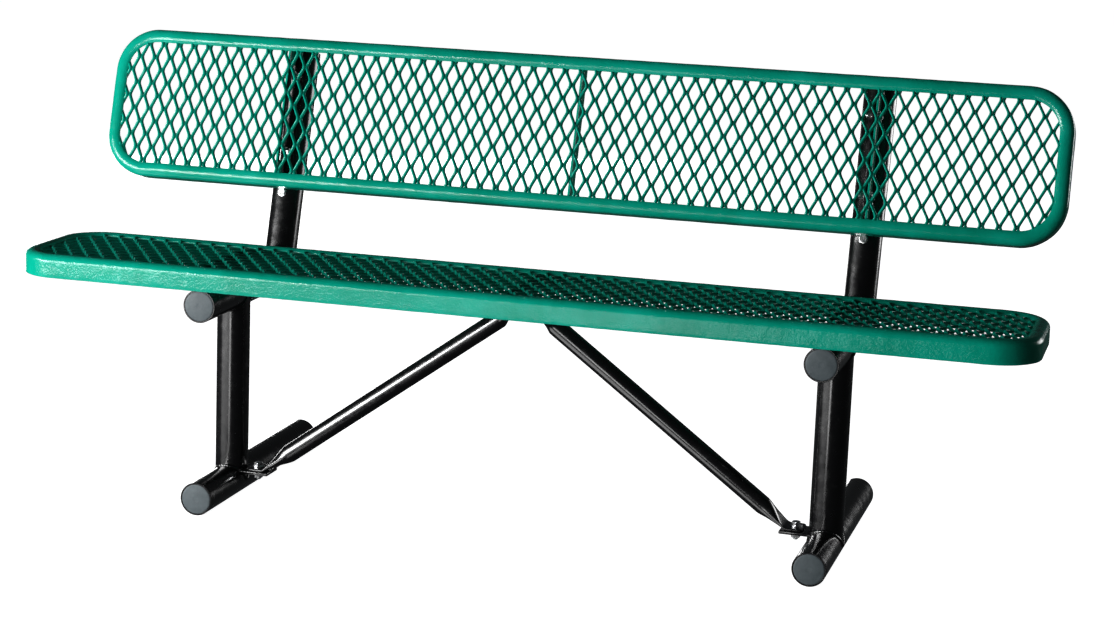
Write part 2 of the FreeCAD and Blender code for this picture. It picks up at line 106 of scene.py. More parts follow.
TUBE_SCREW_FLANGE = [(0, 0.0076), (0.0004, 0.0082), (0.0010, 0.0082), (0.0015, 0.0066)]
TUBE_SCREW_HEAD_FROM = 0.0006

# --- tube ends, caps, tabs, bracket and welds ---
TUBE_STEP = 0.02
TUBE_RIM_EDGE = 0.0007
TUBE_RIM_DEPTH = 0.004
CAP_DOME = 0.0016
CAP_EDGE = 0.0008
CAP_STEPS = 15
GATE_RADIUS = 0.0035
GATE_DEPTH = 0.0003
TAB_SUNK = 0.003
TAB_TOP = 0.062
TAB_EDGE = 0.0011
BRACE_TAB_EDGE = 0.0012
BRACKET_SHEET = 0.005
BRACKET_EDGE = 0.0009
FRAME_WELD = 0.0032
TAB_WELD = 0.0026
BRACE_TAB_WELD = 0.0028
WELD_RIPPLE = 0.09
WELD_RIPPLE_LENGTH = 0.0042
WELD_UNEVENNESS = 0.12

# --- braces ---
BRACE_RADIUS = 0.0167
BRACE_FLAT = 0.005
BRACE_FLAT_WIDTH = 0.048
BRACE_FLAT_CORNER = 0.0105
BRACE_BOLT_X = 0.5046
BRACE_END_MARGIN = 0.016
BRACE_SLOPE = 0.733
BRACE_FOOT_INNER_X = 0.489
BRACE_FOOT_TAPER = 0.046
BRACE_HEAD_TAPER = 0.024
BRACE_OVERRUN = 0.002

# --- colours, as linear red, green and blue ---
GREEN_DEEP = (0.0005, 0.215, 0.145)
GREEN = (0.0010, 0.250, 0.175)
GREEN_LIGHT = (0.0030, 0.288, 0.208)
# painted highlight: a paler teal laid on convex edges such as the bend, crest and lip
GREEN_EDGE_HIGHLIGHT = (0.006, 0.36, 0.265)
BLACK = (0.0045, 0.0045, 0.0050)
BLACK_SCUFFED = (0.020, 0.020, 0.021)
GREY_DARK = (0.048, 0.061, 0.068)
GREY_LIGHT = (0.070, 0.086, 0.093)
ZINC_BLUISH = (0.56, 0.58, 0.60)
ZINC = (0.70, 0.71, 0.72)
ZINC_YELLOWED = (0.66, 0.63, 0.54)

# --- camera, at the viewpoint solved for the bench ---
CAMERA_PLACE = Vector((1.2147, -4.3810, 1.2857))
CAMERA_YAW = math.radians(15.11)
CAMERA_PITCH = math.radians(-11.24)
CAMERA_ROLL = math.radians(2.19)
CAMERA_LENS = 82.71
CAMERA_SENSOR = 36.0

# --- studio ---
# Each softbox: name, place, target, width, height and radiance.  The floor casts no shadow and shows in
# no reflection, so softboxes below it still light the bench.
SOFTBOXES = (
    ("key_left_end", (-1.9, -1.0, 0.62), (-0.8, 0.1, 0.65), 1.0, 0.4, 7),
    ("key_front_left", (-2.5, -2.5, 0.42), (0.1, -0.1, 0.45), 2.7, 0.45, 23),
    ("key_from_below", (-1.8, -2.2, -1.9), (0, -0.28, 0.44), 2.5, 1.5, 2.2),
    ("strip_front_left", (-2.3, -2.7, 0.95), (0.1, -0.1, 0.5), 3.0, 0.09, 80),
    ("low_front_left", (-2.3, -2.7, -0.25), (0.1, -0.1, -0.2), 3.2, 1.0, 1.1),
    ("low_front", (-0.62, -4.1, -0.25), (0.1, -0.1, -0.2), 0.75, 1.2, 4.8),
    ("rear_right", (3.4, 3.6, 0.9), (0, 0, 0.45), 2.4, 1.6, 4),
    ("rear_low_left", (-2.4, 4.0, -0.15), (-0.3, 0, 0), 3.6, 0.8, 4),
)
FILL_COLOUR = (0.90, 0.96, 1.0, 1)
FILL_STRENGTH = 0.035
BACKDROP_COLOUR = (0.95, 0.95, 0.95, 1)
FLOOR_REACH = 30.0
FLOOR_GLOW = 0.82

SIDES = (("left", -1), ("right", 1))


def middle(node):
    low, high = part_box(node)
    return (low + high) / 2


def size(node):
    low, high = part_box(node)
    return high - low


PANEL_LENGTH = size("seat_frame").x
PANEL_WIDTH = size("seat_frame").y
SKIRT = size("seat_frame").z
STIFFENER = size("seat_stiffener_centre")
TUBE_RADIUS = size("foot_tube_right").x / 2
HALF_SPACING = middle("foot_tube_right").x
TAB_THICKNESS = size("seat_tab_right").x
POST_Y = middle("post_tube_right").y
FOOT_HEIGHT = middle("foot_tube_right").z
SUPPORT_HEIGHT = middle("seat_support_tube_right").z
CAP_RADIUS = size("foot_front_cap_right").x / 2
CAP_HEIGHT = size("foot_front_cap_right").y


# ---------------------------------------------------------------- camera and light


def make_camera():
    look = Vector((
        -math.sin(CAMERA_YAW) * math.cos(CAMERA_PITCH),
        math.cos(CAMERA_YAW) * math.cos(CAMERA_PITCH),
        math.sin(CAMERA_PITCH),
    ))
    level = Vector((math.cos(CAMERA_YAW), math.sin(CAMERA_YAW), 0))
    upright = level.cross(look)
    right = level * math.cos(CAMERA_ROLL) + upright * math.sin(CAMERA_ROLL)
    up = upright * math.cos(CAMERA_ROLL) - level * math.sin(CAMERA_ROLL)
    data = bpy.data.cameras.new("camera")
    data.lens = CAMERA_LENS
    data.sensor_width = CAMERA_SENSOR
    camera = bpy.data.objects.new("camera", data)
    turn = Matrix((right, up, -look)).transposed().to_4x4()
    camera.matrix_world = Matrix.Translation(CAMERA_PLACE) @ turn
    bpy.context.scene.collection.objects.link(camera)
    bpy.context.scene.camera = camera


def make_lights():
    """Soft rectangular lights of even brightness, aimed at their targets and unseen by the camera."""
    for name, place, target, width, height, radiance in SOFTBOXES:
        data = bpy.data.lights.new(name, "AREA")
        data.shape = "RECTANGLE"
        data.size = width
        data.size_y = height
        data.energy = radiance * math.pi * width * height
        lamp = bpy.data.objects.new(name, data)
        lamp.location = place
        lamp.rotation_euler = (Vector(target) - Vector(place)).to_track_quat("-Z", "Y").to_euler()
        lamp.visible_camera = False
        bpy.context.scene.collection.objects.link(lamp)


def make_world():
    """A pale backdrop for the camera, and only a faint even light on the bench."""
    world = bpy.data.worlds.new("studio")
    bpy.context.scene.world = world
    world.use_nodes = True
    nodes = world.node_tree.nodes
    links = world.node_tree.links
    nodes.clear()
    path = nodes.new("ShaderNodeLightPath")
    fill = nodes.new("ShaderNodeBackground")
    fill.inputs["Color"].default_value = FILL_COLOUR
    fill.inputs["Strength"].default_value = FILL_STRENGTH
    pale = nodes.new("ShaderNodeBackground")
    pale.inputs["Color"].default_value = BACKDROP_COLOUR
    mix = nodes.new("ShaderNodeMixShader")
    out = nodes.new("ShaderNodeOutputWorld")
    links.new(path.outputs["Is Camera Ray"], mix.inputs[0])
    links.new(fill.outputs[0], mix.inputs[1])
    links.new(pale.outputs[0], mix.inputs[2])
    links.new(mix.outputs[0], out.inputs["Surface"])


# ---------------------------------------------------------------- materials


class Surface:
    """A Principled material with helpers that add nodes reading the object's own coordinates."""

    def __init__(self, name):
        self.material = bpy.data.materials.new(name)
        self.material.use_nodes = True
        self.nodes = self.material.node_tree.nodes
        self.links = self.material.node_tree.links
        self.shader = self.nodes["Principled BSDF"]
        self.place = self.nodes.new("ShaderNodeTexCoord").outputs["Object"]

    def fixed(self, **values):
        for key, value in values.items():
            self.shader.inputs[key.replace("_", " ")].default_value = value

    def noise(self, scale, detail=2.0, rough=0.5):
        """Noise with this many blobs to a metre, so 250 gives blobs about 4 mm across."""
        node = self.nodes.new("ShaderNodeTexNoise")
        node.inputs["Scale"].default_value = scale
        node.inputs["Detail"].default_value = detail
        node.inputs["Roughness"].default_value = rough
        self.links.new(self.place, node.inputs["Vector"])
        return node.outputs["Fac"]

    def ramp(self, value, stops):
        """A colour for each level of a value; stops are (level, colour), lowest first."""
        node = self.nodes.new("ShaderNodeValToRGB")
        ramp = node.color_ramp
        for element, (position, colour) in zip(ramp.elements, (stops[0], stops[-1])):
            element.position = position
            element.color = (*colour, 1)
        for position, colour in stops[1:-1]:
            ramp.elements.new(position).color = (*colour, 1)
        self.links.new(value, node.inputs["Fac"])
        return node.outputs["Color"]

    def scaled(self, value, low, high):
        """Spreads the middle levels of a noise from low to high."""
        node = self.nodes.new("ShaderNodeMapRange")
        node.inputs["From Min"].default_value = 0.3
        node.inputs["From Max"].default_value = 0.7
        node.inputs["To Min"].default_value = low
        node.inputs["To Max"].default_value = high
        self.links.new(value, node.inputs["Value"])
        return node.outputs["Result"]

    def blend(self, share, one, other):
        """Mixes two colours, each a fixed colour or another node's output."""
        node = self.nodes.new("ShaderNodeMix")
        node.data_type = "RGBA"
        self.links.new(share, node.inputs["Factor"])
        for socket, value in (("A", one), ("B", other)):
            target = [i for i in node.inputs if i.name == socket and i.type == "RGBA"][0]
            if isinstance(value, tuple):
                target.default_value = (*value, 1)
            else:
                self.links.new(value, target)
        return [o for o in node.outputs if o.type == "RGBA"][0]

    def bump(self, height, distance, strength, under=None):
        """Surface relief, this many metres deep, on top of the relief under it."""
        node = self.nodes.new("ShaderNodeBump")
        node.inputs["Strength"].default_value = strength
        node.inputs["Distance"].default_value = distance
        self.links.new(height, node.inputs["Height"])
        if under:
            self.links.new(under, node.inputs["Normal"])
        return node.outputs["Normal"]

    def pointiness(self):
        return self.nodes.new("ShaderNodeNewGeometry").outputs["Pointiness"]

    def drive(self, **outputs):
        for key, output in outputs.items():
            self.links.new(output, self.shader.inputs[key.replace("_", " ")])


def plastisol():
    """Thick dipped green coating: glossy, lumpy at two scales, with a painted highlight of paler teal on
    convex edges.
    """
    s = Surface("green_plastisol")
    s.fixed(IOR=1.5, Coat_Weight=0.06, Coat_Roughness=0.10, Specular_IOR_Level=0.30)
    tone = s.ramp(s.noise(9, 4, 0.6), [
        (0.32, GREEN_DEEP),
        (0.50, GREEN),
        (0.68, GREEN_LIGHT),
    ])
    # painted highlight: where the surface is convex (bends, crest, lips, beads) the colour turns paler
    # teal
    edge_highlight = s.ramp(s.pointiness(), [(0.51, (0, 0, 0)), (0.64, (1, 1, 1))])
    s.drive(Base_Color=s.blend(edge_highlight, tone, GREEN_EDGE_HIGHLIGHT))
    s.drive(Roughness=s.scaled(s.noise(38, 3, 0.6), 0.11, 0.21))
    lumps = s.bump(s.noise(70, 3, 0.6), 0.0012, 0.50)
    peel = s.bump(s.noise(270, 3, 0.6), 0.00055, 0.80, lumps)
    s.drive(Normal=peel)
    return s.material


def powder_coat():
    """Glossy black powder coat: fine orange peel, faint dust and a few dull scuffs."""
    s = Surface("black_powder_coat")
    s.fixed(IOR=1.5, Coat_Weight=0.45, Coat_Roughness=0.08, Specular_IOR_Level=0.7)
    scuff = s.ramp(s.noise(26, 6, 0.72), [(0.60, (0, 0, 0)), (0.72, (1, 1, 1))])
    s.drive(Base_Color=s.blend(scuff, BLACK, BLACK_SCUFFED))
    s.drive(Roughness=s.scaled(s.noise(60, 4, 0.6), 0.15, 0.30))
    waves = s.bump(s.noise(110, 2, 0.5), 0.00030, 0.14)
    peel = s.bump(s.noise(520, 2, 0.5), 0.00008, 0.40, waves)
    s.drive(Normal=peel)
    return s.material


def cap_plastic():
    """Matte grey moulded polyethylene with a fine spark-eroded grain."""
    s = Surface("grey_cap")
    s.fixed(IOR=1.5, Specular_IOR_Level=0.35)
    s.drive(Base_Color=s.ramp(s.noise(70, 5, 0.65), [
        (0.30, GREY_DARK),
        (0.70, GREY_LIGHT),
    ]))
    s.drive(Roughness=s.scaled(s.noise(160, 3, 0.6), 0.46, 0.62))
    s.drive(Normal=s.bump(s.noise(1500, 2, 0.5), 0.00008, 0.6))
    return s.material


def zinc():
    """Bright zinc plate, slightly cloudy, with a faint yellow cast in places."""
    s = Surface("zinc_hardware")
    s.fixed(Metallic=1.0)
    s.drive(Base_Color=s.ramp(s.noise(240, 4, 0.6), [
        (0.35, ZINC_BLUISH),
        (0.55, ZINC),
        (0.72, ZINC_YELLOWED),
    ]))
    s.drive(Roughness=s.scaled(s.noise(420, 4, 0.6), 0.20, 0.38))
    s.drive(Normal=s.bump(s.noise(900, 3, 0.6), 0.00008, 0.4))
    return s.material


def studio_floor():
    """Matte white floor, with a glow of its own that matches it to the backdrop."""
    s = Surface("studio_floor")
    s.fixed(Roughness=0.9, Specular_IOR_Level=0.1)
    s.fixed(Emission_Color=(1, 1, 1, 1), Emission_Strength=FLOOR_GLOW)
    s.drive(Base_Color=s.ramp(s.noise(3, 3, 0.5), [
        (0.3, (0.86, 0.86, 0.86)),
        (0.7, (0.88, 0.88, 0.88)),
    ]))
    return s.material


FINISHES = {
    "green_plastisol": plastisol(),
    "black_powder_coat": powder_coat(),
    "grey_cap": cap_plastic(),
    "zinc_hardware": zinc(),
}


# ---------------------------------------------------------------- mesh building


class Shape:
    """Vertices and faces gathered from several closed lofts into one piece."""

    def __init__(self):
        self.points = []
        self.faces = []

    def loft(self, rings, closed=False):
        """Skins a row of rings of equal length; open rows get flat ends."""
        base = len(self.points)
        count = len(rings[0])
        for ring in rings:
            self.points.extend(ring)
        last = len(rings) if closed else len(rings) - 1
        for i in range(last):
            here = base + i * count
            there = base + (i + 1) % len(rings) * count
            for k in range(count):
                k2 = (k + 1) % count
                self.faces.append((here + k, here + k2, there + k2, there + k))
        if not closed:
            self.faces.append(tuple(base + k for k in reversed(range(count))))
            self.faces.append(tuple(base + (len(rings) - 1) * count + k for k in range(count)))

    def placed(self, place):
        moved = Shape()
        moved.add(self, place)
        return moved

    def add(self, other, place=Matrix.Identity(4)):
        base = len(self.points)
        self.points.extend(place @ Vector(p) for p in other.points)
        self.faces.extend(tuple(base + k for k in face) for face in other.faces)

    def piece(self, name, slot, *nodes, sharp=40, lumps=0.0, lump_scale=60):
        """The finished object: smooth but for its sharp edges, riding on the bench.

        It replaces the named CAD nodes, and its edges are sharp above this many degrees.
        """
        mesh = bpy.data.meshes.new(name)
        mesh.from_pydata([tuple(p) for p in self.points], [], self.faces)
        work = bmesh.new()
        work.from_mesh(mesh)
        bmesh.ops.recalc_face_normals(work, faces=work.faces)
        if lumps:
            work.normal_update()
            shift = [
                noise.noise(v.co * lump_scale)
                + FINE_LUMP_SHARE * noise.noise(v.co * lump_scale * FINE_LUMP_SCALE)
                for v in work.verts
            ]
            for v, amount in zip(work.verts, shift):
                v.co += v.normal * amount * lumps
        work.to_mesh(mesh)
        work.free()
        mesh.shade_smooth()
        mesh.set_sharp_from_angle(angle=math.radians(sharp))
        mesh.materials.append(FINISHES[slot])
        made = bpy.data.objects.new(name, mesh)
        bpy.context.scene.collection.objects.link(made)
        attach(made, "root")
        if nodes:
            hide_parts(*nodes)
        return made


def arc(centre, radius, start, end, steps):
    """Points on an arc in a plane; angles in degrees."""
    angles = [math.radians(start + (end - start) * k / steps) for k in range(steps + 1)]
    return [(centre[0] + radius * math.cos(a), centre[1] + radius * math.sin(a)) for a in angles]


def circle(radius, count):
    angles = [2 * math.pi * k / count for k in range(count)]
    return [(radius * math.cos(a), radius * math.sin(a)) for a in angles]


def along(start, end, profile, count=72):
    """A turned solid: profile gives (distance along the axis, radius) from start towards end."""
    start = Vector(start)
    axis = (Vector(end) - start).normalized()
    side = axis.orthogonal().normalized()
    other = axis.cross(side)
    shape = Shape()
    shape.loft([
        [start + axis * far + side * x + other * y for x, y in circle(radius, count)]
        for far, radius in profile
    ])
    return shape


def tube_solid(start, end, open_ends=(False, False)):
    """A tube's outside; an open end has a rounded rim that turns in to the bore."""
    length = (Vector(end) - Vector(start)).length
    steps = max(2, int(length / TUBE_STEP))
    profile = [(length * k / steps, TUBE_RADIUS) for k in range(1, steps)]
    rim = [
        (TUBE_RIM_DEPTH, CAP_RADIUS),
        (TUBE_RIM_EDGE, CAP_RADIUS),
        (0, CAP_RADIUS + TUBE_RIM_EDGE),
        (0, TUBE_RADIUS - TUBE_RIM_EDGE),
        (TUBE_RIM_EDGE, TUBE_RADIUS),
    ]
    front = rim if open_ends[0] else [(0, TUBE_RADIUS)]
    back = [(length, TUBE_RADIUS)]
    if open_ends[1]:
        back = [(length - far, r) for far, r in reversed(rim)]
    return along(start, end, front + profile + back)


def ease(t):
    """Smooth step from 0 to 1."""
    return t * t * (3 - 2 * t)


def superellipse(half_x, half_y, power, count):
    """Points round an oval: power 2 is an ellipse, and higher powers are squarer."""
    points = []
    for k in range(count):
        a = 2 * math.pi * (k + 0.5) / count
        c = math.cos(a)
        s = math.sin(a)
        points.append((
            half_x * math.copysign(abs(c) ** (2 / power), c),
            half_y * math.copysign(abs(s) ** (2 / power), s),
        ))
    return points


def block(low, high, edge):
    """A plate or bar with its edges eased, running along Z between two corners."""
    low = Vector(low)
    high = Vector(high)
    centre = (low + high) / 2
    half = (high - low) / 2
    inset = [(edge, 0.0), (edge * 0.3, edge * 0.3), (0.0, edge)]
    levels = [(shrink, low.z + up) for shrink, up in inset]
    levels += [(shrink, high.z - up) for shrink, up in reversed(inset)]
    rings = []
    for shrink, z in levels:
        reach_x = half.x - shrink - edge
        reach_y = half.y - shrink - edge
        ring = []
        for sx, sy, turn in ((1, 1, 0), (-1, 1, 90), (-1, -1, 180), (1, -1, 270)):
            corner = arc((sx * reach_x, sy * reach_y), edge, turn, turn + 90, 3)
            ring += [Vector((centre.x + x, centre.y + y, z)) for x, y in corner]
        rings.append(ring)
    shape = Shape()
    shape.loft(rings)
    return shape


# ---------------------------------------------------------------- panels


def panel_place(prefix):
    """Where a panel's own frame of reference lies: face up, length along X, width along Y."""
    turn = Matrix.Identity(4)
    if prefix == "back":
        turn = Matrix.Rotation(math.pi / 2 - BACK_TILT, 4, "X")
    below = SHEET + MESH_THICKNESS + STIFFENER.z / 2
    centre = middle(f"{prefix}_stiffener_centre") + turn @ Vector((0, 0, below))
    centre.x = 0  # the back's own middle stiffener stands off centre
    return Matrix.Translation(centre) @ turn


PLACES = {prefix: panel_place(prefix) for prefix in ("seat", "back")}


def outline_stations():
    """Points around the panel's outline with their outward directions."""
    half_x = PANEL_LENGTH / 2 - PANEL_CORNER
    half_y = PANEL_WIDTH / 2 - PANEL_CORNER
    corners = ((half_x, half_y, 0), (-half_x, half_y, 90), (-half_x, -half_y, 180), (half_x, -half_y, 270))
    stations = []
    for i, (x, y, turn) in enumerate(corners):
        for dx, dy in arc((0, 0), 1.0, turn, turn + 90, CORNER_STEPS):
            stations.append((Vector((x + PANEL_CORNER * dx, y + PANEL_CORNER * dy)), Vector((dx, dy))))
        nx, ny, _ = corners[(i + 1) % 4]
        start, out = stations[-1]
        end = Vector((nx, ny)) + PANEL_CORNER * out
        steps = int((end - start).length / OUTLINE_STEP)
        stations += [(start.lerp(end, k / steps), out) for k in range(1, steps)]
    return stations


def rim_profile():
    """Section of the folded edge as (inset from the outline, height), all the way round the sheet.

    The sheet bends over from the skirt to a crest and falls a little towards the inner lip.
    """
    half = SHEET / 2
    flat_end = FLANGE - half
    fall = math.degrees(math.atan(2 * LIP_DROP / (flat_end - CREST)))
    lip = (flat_end - half * math.sin(math.radians(fall)), -LIP_DROP - half)
    section = arc((half, -SKIRT + half), half, 0, -180, 6)
    section += [(0, -SKIRT * share) for share in (0.84, 0.72, 0.60, 0.48, 0.36)]
    section += [(CREST + CREST * x, BEND * (y - 1)) for x, y in arc((0, 0), 1, 180, 90, 14)]
    for k in range(1, 6):
        x = CREST + (lip[0] - CREST) * k / 6
        section.append((x, -LIP_DROP * ((x - CREST) / (flat_end - CREST)) ** 2))
    section += arc(lip, half, 90 - fall, -90 - fall, 8)
    section += [(CREST, -SHEET)]
    inner_bend = arc((0, 0), 1, 110, 180, 5)
    section += [(CREST + (CREST - SHEET) * x, -BEND + (BEND - SHEET) * y) for x, y in inner_bend]
    section += [(SHEET, -SKIRT * share) for share in (0.45, 0.7)]
    return section


def rim_shape():
    section = rim_profile()
    shape = Shape()
    shape.loft([
        [Vector((*(spot - out * inset), height)) for inset, height in section]
        for spot, out in outline_stations()
    ], closed=True)
    return shape


def inside_outline(x, y, inset):
    """Whether a point lies inside the panel's outline, drawn in by an inset."""
    radius = PANEL_CORNER - inset
    past_x = max(abs(x) - (PANEL_LENGTH / 2 - inset - radius), 0)
    past_y = max(abs(y) - (PANEL_WIDTH / 2 - inset - radius), 0)
    return math.hypot(past_x, past_y) <= radius


def sway(y):
    """How far a strand leans: +1 at its right-hand bonds, -1 at its left-hand ones, straight between."""
    phase = (y / MESH_LONG_PITCH) % 1.0
    ramp = 0.5 - BOND_LENGTH / MESH_LONG_PITCH
    flat = BOND_LENGTH / MESH_LONG_PITCH / 2
    if phase > 0.5:
        return -sway(y - MESH_LONG_PITCH / 2)
    t = min(max((phase - flat) / ramp, 0.0), 1.0)
    return 1 - 2 * (ease(t) * SWAY_EASING + t * (1 - SWAY_EASING))


def strand_path(strip, tilt):
    """Centre points of one strand, with how close each is to a bond: 1 at a bond, 0 midway."""
    across = STRAND_WIDTH * math.cos(tilt)
    lift = STRAND_WIDTH * math.sin(tilt) / 2
    swing = (MESH_PITCH / 2 - abs(across)) / 2
    step = MESH_LONG_PITCH / STRAND_STEPS
    reach = int(PANEL_WIDTH / 2 / step)
    middle_x = MESH_SHIFT + MESH_PITCH / 2 * (strip + 0.5)
    offset = MESH_PHASE if strip % 2 else MESH_PHASE + MESH_LONG_PITCH / 2
    path = []
    for k in range(-reach, reach + 1):
        y = k * step
        lean = sway(y - offset)
        x = middle_x + swing * lean
        if inside_outline(x, y, SHEET + MESH_MARGIN):
            path.append((Vector((x, y, MESH_MIDDLE - lift * lean)), abs(lean)))
    return path


def strand_rings(path, tilt):
    """Flat-sided sections along a strand, a little thicker with coating at the bonds."""
    wide = Vector((math.cos(tilt), 0, math.sin(tilt)))
    section = superellipse(STRAND_WIDTH / 2 * STRAND_COAT, STRAND_THICKNESS / 2, 2.7, 10)
    rings = []
    for k, (spot, bond) in enumerate(path):
        ahead = path[min(k + 1, len(path) - 1)][0] - path[max(k - 1, 0)][0]
        ahead.normalize()
        side = (wide - ahead * wide.dot(ahead)).normalized()
        face = ahead.cross(side)
        coat = 1 + 0.16 * bond ** 6 + 0.05 * noise.noise(spot * 90)
        rings.append([spot + side * x * coat + face * y * coat for x, y in section])
    return rings


def mesh_shape(tilt):
    """Expanded metal: slit strands that lean left and right and join at the bonds, all tilted one way."""
    half_count = int(PANEL_LENGTH / MESH_PITCH) + 1
    shape = Shape()
    for strip in range(-half_count, half_count):
        path = strand_path(strip, tilt)
        if len(path) > 2:
            shape.loft(strand_rings(path, tilt))
    return shape


def stiffener_shape(node, prefix):
    """Coated flat bar on edge, from skirt to skirt, in the panel's own frame of reference."""
    x = middle(node).x
    half = STIFFENER.y / 2
    top = -(SHEET + MESH_THICKNESS)
    section = superellipse(STIFFENER.x / 2, STIFFENER.z / 2, 9, 28)
    shape = Shape()
    shape.loft([
        [
            Vector((x + dx, -half + 2 * half * k / STIFFENER_STEPS, top - STIFFENER.z / 2 + dz))
            for dx, dz in section
        ]
        for k in range(STIFFENER_STEPS + 1)
    ])
    return shape.placed(PLACES[prefix])


def make_panels():
    rim = rim_shape()
    for prefix, place in PLACES.items():
        rim.placed(place).piece(
            f"{prefix}_rim_coated", "green_plastisol", f"{prefix}_frame", sharp=60, **RIM_LUMPS,
        )
        mesh_shape(STRAND_TILT[prefix]).placed(place).piece(
            f"{prefix}_expanded_metal", "green_plastisol", f"{prefix}_mesh", sharp=80,
        )
        for name in ("left", "centre", "right"):
            node = f"{prefix}_stiffener_{name}"
            stiffener_shape(node, prefix).piece(
                f"{node}_coated", "green_plastisol", node, sharp=50, **STIFFENER_LUMPS,
            )


# ---------------------------------------------------------------- fasteners


def hexagon(flats, angle):
    """Distance from a hexagon's middle to its side, at an angle."""
    sector = math.pi / 3
    return flats / 2 / math.cos((angle % sector) - sector / 2)


def hex_solid(flats, low, high, chamfers):
    """Six flats with their corners turned off by a cone; chamfers say which ends, (low, high)."""
    count = 72
    cut = flats * HEX_CORNER_CUT
    fine = [0.0, 0.0003, 0.0006, 0.0009, 0.0013]
    levels = [low + z for z in fine] + [high - z for z in reversed(fine)]
    rings = []
    for z in levels:
        limit = flats
        if chamfers[0]:
            limit = min(limit, cut + (z - low) * HEX_CHAMFER_SLOPE)
        if chamfers[1]:
            limit = min(limit, cut + (high - z) * HEX_CHAMFER_SLOPE)
        ring = []
        for k in range(count):
            a = 2 * math.pi * k / count
            r = min(hexagon(flats, a), limit)
            ring.append(Vector((r * math.cos(a), r * math.sin(a), z)))
        rings.append(ring)
    shape = Shape()
    shape.loft(rings)
    return shape


def thread(diameter, low, high):
    """Helical thread with a tapered tip at the low end."""
    count = 28
    step = THREAD_PITCH / THREAD_STEPS
    rings = []
    steps = int((high - low) / step)
    for i in range(steps + 1):
        z = low + step * i
        ring = []
        for k in range(count):
            a = 2 * math.pi * k / count
            turn = (z / THREAD_PITCH - a / (2 * math.pi)) % 1.0
            crest = diameter / 2 - THREAD_DEPTH * abs(2 * turn - 1)
            tip = diameter / 2 - THREAD_DEPTH * 1.4 + (z - low)
            r = min(crest, tip)
            ring.append(Vector((r * math.cos(a), r * math.sin(a), z)))
        rings.append(ring)
    shape = Shape()
    shape.loft(rings)
    return shape


def washer_solid(diameter, thickness, z):
    outer = diameter / 2
    eased = outer - WASHER_EDGE
    profile = [(0, eased), (WASHER_EDGE, outer), (thickness - WASHER_EDGE, outer), (thickness, eased)]
    return along((0, 0, z), (0, 0, z + thickness), profile, 48)


def upright(spot, outwards, spin):
    """Placement that stands a fastener on a spot with its head pointing outwards."""
    turn = Vector(outwards).to_track_quat("Z", "Y").to_matrix().to_4x4()
    return Matrix.Translation(spot) @ turn @ Matrix.Rotation(spin, 4, "Z")


class Fasteners:
    """Bolts, nuts and washers of one group, each gathered as one piece."""

    def __init__(self, kind):
        self.kind = kind
        self.bolts = Shape()
        self.nuts = Shape()
        self.washers = Shape()

    def fit(self, spot, outwards, grip, stub):
        """One bolt through a grip that starts at spot and runs back from it."""
        k = self.kind
        place = upright(spot, outwards, SHUFFLE.uniform(0, math.pi / 3))
        nut_place = upright(spot, outwards, SHUFFLE.uniform(0, math.pi / 3))
        under_head = k["thick"]
        nut_face = -grip - k["thick"]
        nut_end = nut_face - k["nut"]
        head = hex_solid(k["flats"], under_head, under_head + k["head"], (False, True))
        self.bolts.add(head, place)
        self.bolts.add(thread(k["thread"], nut_end - stub, under_head), place)
        self.nuts.add(hex_solid(k["flats"], nut_end, nut_face, (True, True)), nut_place)
        for z in (0, nut_face):
            self.washers.add(washer_solid(k["washer"], k["thick"], z), place)

    def finish(self, prefix):
        for name, shape in (("bolts", self.bolts), ("nuts", self.nuts), ("washers", self.washers)):
            shape.piece(f"{prefix}_{name}_zinc", "zinc_hardware", f"{prefix}_{name}", sharp=28)


def make_panel_bolts(prefix):
    group = Fasteners(PANEL_BOLT)
    turn = PLACES[prefix].to_3x3()
    for _, side in SIDES:
        for y in (-TAB_BOLT_SPACING / 2, TAB_BOLT_SPACING / 2):
            x = side * (HALF_SPACING + TAB_THICKNESS / 2 + STIFFENER.x)
            spot = PLACES[prefix] @ Vector((x, y, TAB_BOLT_REACH - FACE_TO_TUBE))
            outwards = turn @ Vector((side, 0, 0))
            group.fit(spot, outwards, STIFFENER.x + TAB_THICKNESS, PANEL_BOLT_STUB)
    group.finish(prefix)


def make_tube_screws():
    """Washer-faced hex screws on the front of the back tubes, just below the back panel."""
    shape = Shape()
    out = PLACES["back"].to_3x3() @ Vector((0, 0, 1))
    low = TUBE_SCREW_HEAD_FROM
    y = -PANEL_WIDTH / 2 - TUBE_SCREW_BELOW_PANEL
    for _, side in SIDES:
        spot = PLACES["back"] @ Vector((side * HALF_SPACING, y, TUBE_RADIUS - FACE_TO_TUBE))
        place = upright(spot, out, TUBE_SCREW_SPIN)
        shape.add(along((0, 0, 0), (0, 0, 1), TUBE_SCREW_FLANGE, 48), place)
        shape.add(hex_solid(PANEL_BOLT["flats"], low, PANEL_BOLT["head"], (False, True)), place)
        shape.add(thread(PANEL_BOLT["thread"], -TUBE_SCREW_DEPTH, low), place)
    shape.piece("back_support_screws_zinc", "zinc_hardware", "back_support_screws", sharp=28)


def make_brace_bolts():
    group = Fasteners(BRACE_BOLT)
    tab_low, tab_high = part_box("brace_tab_right")
    tab = tab_high.z - tab_low.z
    up = Vector((0, 0, 1))
    for _, side in SIDES:
        spot = Vector((side * BRACE_BOLT_X, POST_Y, tab_high.z + BRACE_FLAT))
        group.fit(spot, up, tab + BRACE_FLAT, FOOT_BOLT_STUB)
    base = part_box("seat_brace_bracket")[0].z
    spot = Vector((0, POST_Y, base - 2 * BRACE_FLAT))
    group.fit(spot, -up, 2 * BRACE_FLAT + BRACKET_SHEET, SEAT_BOLT_STUB)
    group.finish("brace")


# ---------------------------------------------------------------- tubes, caps and welds


